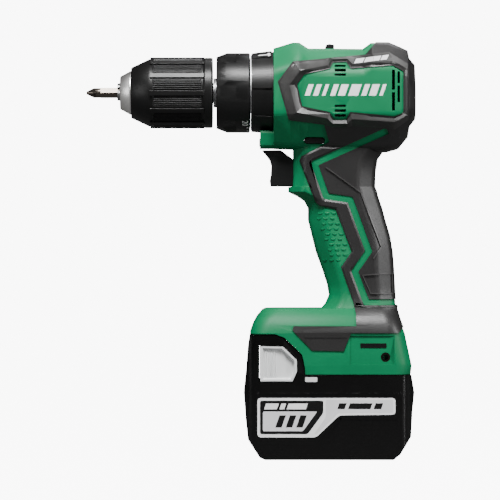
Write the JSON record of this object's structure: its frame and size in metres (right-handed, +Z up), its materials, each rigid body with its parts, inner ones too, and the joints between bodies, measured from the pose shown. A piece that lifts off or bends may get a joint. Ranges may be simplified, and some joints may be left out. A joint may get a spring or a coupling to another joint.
{
  "type": "cordless drill",
  "caption": "Pistol-grip cordless hammer drill-driver with keyless chuck, torque clutch dial, mode ring, trigger and slide-off battery pack that it stands on.",
  "frame": {"origin": "middle of the battery's flat base, on the plane of symmetry", "axes": "+Z up, -X towards the chuck and bit, -Y towards the operator's left-hand side of the tool"},
  "size_m": [0.2096, 0.0754, 0.2646],
  "materials": {
    "tool_steel": "ground",
    "chuck_steel": "turned",
    "jaw_steel": "machined",
    "sintered_steel": "sintered",
    "magnet_steel": "laminated",
    "cast_alloy": "die-cast",
    "copper": "enamelled wire",
    "brass": "machined",
    "black_plastic": "satin",
    "green_plastic": "satin",
    "black_rubber": "fine grain",
    "battery_plastic": "satin gloss",
    "grey_plastic": "satin",
    "label_film": "printed film",
    "clear_lens": "clear",
    "board": "solder mask",
    "cell_wrap": "shrink wrap"
  },
  "bodies": {
    "drill_body": {"left_housing": "green_plastic", "right_housing": "green_plastic", "left_overmould": "black_rubber", "right_overmould": "black_rubber", "housing_screws": "jaw_steel", "gear_case": "cast_alloy", "ball_bearings": "tool_steel", "ring_gear_1": "sintered_steel", "ring_gear_3": "sintered_steel", "fixed_ratchet": "tool_steel", "stator_core": "magnet_steel", "stator_coils": "copper", "switch_body": "black_plastic", "controller_board": "board", "terminal_block": "black_plastic", "hook_inserts": "brass", "led_lens": "clear_lens", "clutch_spring": "tool_steel", "trigger_spring": "tool_steel"},
    "chuck_spindle": {"spindle": "tool_steel", "spindle_ratchet": "tool_steel", "chuck_screw": "jaw_steel", "chuck_body": "chuck_steel", "carrier_3": "sintered_steel"},
    "sleeve": {"chuck_sleeve": "black_plastic", "chuck_nut": "jaw_steel"},
    "bit": {"screwdriver_bit": "tool_steel"},
    "clutch_dial": {"clutch_dial": "black_plastic"},
    "mode_ring": {"mode_ring": "black_plastic"},
    "spring_plate": {"spring_plate": "tool_steel"},
    "carrier_2": {"carrier_2": "sintered_steel"},
    "carrier_1": {"carrier_1": "sintered_steel"},
    "motor_rotor": {"rotor_shaft": "tool_steel", "rotor_core": "magnet_steel", "cooling_fan": "black_plastic"},
    "speed_selector": {"speed_knob": "black_plastic", "ring_gear_2": "sintered_steel"},
    "trigger": {"trigger": "black_plastic"},
    "direction_button": {"direction_button": "black_plastic"},
    "battery": {"battery_lower_case": "battery_plastic", "battery_upper_case": "battery_plastic", "battery_cells": "cell_wrap", "battery_board": "board", "battery_labels": "label_film", "latch_springs": "tool_steel"},
    "latch_left": {"latch_button_left": "grey_plastic"},
    "latch_right": {"latch_button_right": "grey_plastic"},
    "planet_1_1": {"planet_1_1": "sintered_steel"},
    "planet_1_2": {"planet_1_2": "sintered_steel"},
    "planet_1_3": {"planet_1_3": "sintered_steel"},
    "planet_2_1": {"planet_2_1": "sintered_steel"},
    "planet_2_2": {"planet_2_2": "sintered_steel"},
    "planet_2_3": {"planet_2_3": "sintered_steel"},
    "planet_3_1": {"planet_3_1": "sintered_steel"},
    "planet_3_2": {"planet_3_2": "sintered_steel"},
    "planet_3_3": {"planet_3_3": "sintered_steel"},
    "jaw_1": {"chuck_jaw_1": "jaw_steel"},
    "jaw_2": {"chuck_jaw_2": "jaw_steel"},
    "jaw_3": {"chuck_jaw_3": "jaw_steel"}
  },
  "joints": [
    {"name": "spindle_spin", "type": "hinge", "parent": "drill_body", "child": "chuck_spindle", "pos_m": [-0.05, 0, 0.2327], "axis": [1, 0, 0], "continuous": true},
    {"name": "carrier_2_spin", "type": "hinge", "parent": "drill_body", "child": "carrier_2", "pos_m": [-0.05, 0, 0.2327], "axis": [1, 0, 0], "continuous": true},
    {"name": "carrier_1_spin", "type": "hinge", "parent": "drill_body", "child": "carrier_1", "pos_m": [-0.05, 0, 0.2327], "axis": [1, 0, 0], "continuous": true},
    {"name": "rotor_spin", "type": "hinge", "parent": "drill_body", "child": "motor_rotor", "pos_m": [-0.05, 0, 0.2327], "axis": [1, 0, 0], "continuous": true},
    {"name": "sleeve_turn", "type": "hinge", "parent": "chuck_spindle", "child": "sleeve", "pos_m": [-0.05, 0, 0.2327], "axis": [1, 0, 0], "range_deg": [0, 2925]},
    {"name": "bit_pull", "type": "slide", "parent": "chuck_spindle", "child": "bit", "axis": [-1, 0, 0], "range_m": [0, 0.06]},
    {"name": "clutch_turn", "type": "hinge", "parent": "drill_body", "child": "clutch_dial", "pos_m": [-0.05, 0, 0.2327], "axis": [1, 0, 0], "range_deg": [-216.6, 11.4]},
    {"name": "spring_plate_slide", "type": "slide", "parent": "drill_body", "child": "spring_plate", "axis": [-1, 0, 0], "range_m": [-0.00024, 0.0046], "deforming": ["clutch_spring"]},
    {"name": "mode_turn", "type": "hinge", "parent": "drill_body", "child": "mode_ring", "pos_m": [-0.05, 0, 0.2327], "axis": [1, 0, 0], "range_deg": [-40, 40]},
    {"name": "speed_slide", "type": "slide", "parent": "drill_body", "child": "speed_selector", "axis": [1, 0, 0], "range_m": [0, 0.003]},
    {"name": "trigger_pull", "type": "slide", "parent": "drill_body", "child": "trigger", "axis": [1, 0, 0], "range_m": [0, 0.0064], "stiffness_N_per_m": 700, "springref_m": -0.006, "deforming": ["trigger_spring"]},
    {"name": "direction_slide", "type": "slide", "parent": "drill_body", "child": "direction_button", "axis": [0, 1, 0], "range_m": [-0.003, 0.003]},
    {"name": "battery_slide", "type": "slide", "parent": "drill_body", "child": "battery", "axis": [-1, 0, 0], "range_m": [0, 0.11]},
    {"name": "latch_left_press", "type": "slide", "parent": "battery", "child": "latch_left", "axis": [0, 1, 0], "range_m": [0, 0.003], "stiffness_N_per_m": 800, "springref_m": -0.003, "deforming": ["latch_springs"]},
    {"name": "latch_right_press", "type": "slide", "parent": "battery", "child": "latch_right", "axis": [0, -1, 0], "range_m": [0, 0.003], "stiffness_N_per_m": 800, "springref_m": -0.003, "deforming": ["latch_springs"]},
    {"name": "planet_1_1_spin", "type": "hinge", "parent": "carrier_1", "child": "planet_1_1", "pos_m": [0, 0.0108, 0.2327], "axis": [1, 0, 0], "continuous": true},
    {"name": "planet_1_2_spin", "type": "hinge", "parent": "carrier_1", "child": "planet_1_2", "pos_m": [0, -0.0054, 0.24205], "axis": [1, 0, 0], "continuous": true},
    {"name": "planet_1_3_spin", "type": "hinge", "parent": "carrier_1", "child": "planet_1_3", "pos_m": [0, -0.0054, 0.22335], "axis": [1, 0, 0], "continuous": true},
    {"name": "planet_2_1_spin", "type": "hinge", "parent": "carrier_2", "child": "planet_2_1", "pos_m": [0, 0.0108, 0.2327], "axis": [1, 0, 0], "continuous": true},
    {"name": "planet_2_2_spin", "type": "hinge", "parent": "carrier_2", "child": "planet_2_2", "pos_m": [0, -0.0054, 0.24205], "axis": [1, 0, 0], "continuous": true},
    {"name": "planet_2_3_spin", "type": "hinge", "parent": "carrier_2", "child": "planet_2_3", "pos_m": [0, -0.0054, 0.22335], "axis": [1, 0, 0], "continuous": true},
    {"name": "planet_3_1_spin", "type": "hinge", "parent": "chuck_spindle", "child": "planet_3_1", "pos_m": [0, 0.0108, 0.2327], "axis": [1, 0, 0], "continuous": true},
    {"name": "planet_3_2_spin", "type": "hinge", "parent": "chuck_spindle", "child": "planet_3_2", "pos_m": [0, -0.0054, 0.24205], "axis": [1, 0, 0], "continuous": true},
    {"name": "planet_3_3_spin", "type": "hinge", "parent": "chuck_spindle", "child": "planet_3_3", "pos_m": [0, -0.0054, 0.22335], "axis": [1, 0, 0], "continuous": true},
    {"name": "jaw_1_slide", "type": "slide", "parent": "chuck_spindle", "child": "jaw_1", "axis": [0.9659, 0, 0.2588], "range_m": [0, 0.0122]},
    {"name": "jaw_2_slide", "type": "slide", "parent": "chuck_spindle", "child": "jaw_2", "axis": [0.9659, -0.2241, -0.1294], "range_m": [0, 0.0122]},
    {"name": "jaw_3_slide", "type": "slide", "parent": "chuck_spindle", "child": "jaw_3", "axis": [0.9659, 0.2241, -0.1294], "range_m": [0, 0.0122]}
  ],
  "couplings": [
    {"joint": "carrier_2_spin", "follows": "spindle_spin", "ratio": 3.6},
    {"joint": "carrier_1_spin", "follows": "spindle_spin", "ratio": 12.96},
    {"joint": "rotor_spin", "follows": "spindle_spin", "ratio": 58.32},
    {"joint": "spring_plate_slide", "follows": "clutch_turn", "m_per_rad": -0.0012},
    {"joint": "planet_1_1_spin", "follows": "spindle_spin", "ratio": -36.288},
    {"joint": "planet_1_2_spin", "follows": "spindle_spin", "ratio": -36.288},
    {"joint": "planet_1_3_spin", "follows": "spindle_spin", "ratio": -36.288},
    {"joint": "planet_2_1_spin", "follows": "spindle_spin", "ratio": -11.7},
    {"joint": "planet_2_2_spin", "follows": "spindle_spin", "ratio": -11.7},
    {"joint": "planet_2_3_spin", "follows": "spindle_spin", "ratio": -11.7},
    {"joint": "planet_3_1_spin", "follows": "spindle_spin", "ratio": -3.25},
    {"joint": "planet_3_2_spin", "follows": "spindle_spin", "ratio": -3.25},
    {"joint": "planet_3_3_spin", "follows": "spindle_spin", "ratio": -3.25},
    {"joint": "jaw_1_slide", "follows": "sleeve_turn", "m_per_rad": 0.00023873},
    {"joint": "jaw_2_slide", "follows": "sleeve_turn", "m_per_rad": 0.00023873},
    {"joint": "jaw_3_slide", "follows": "sleeve_turn", "m_per_rad": 0.00023873}
  ]
}
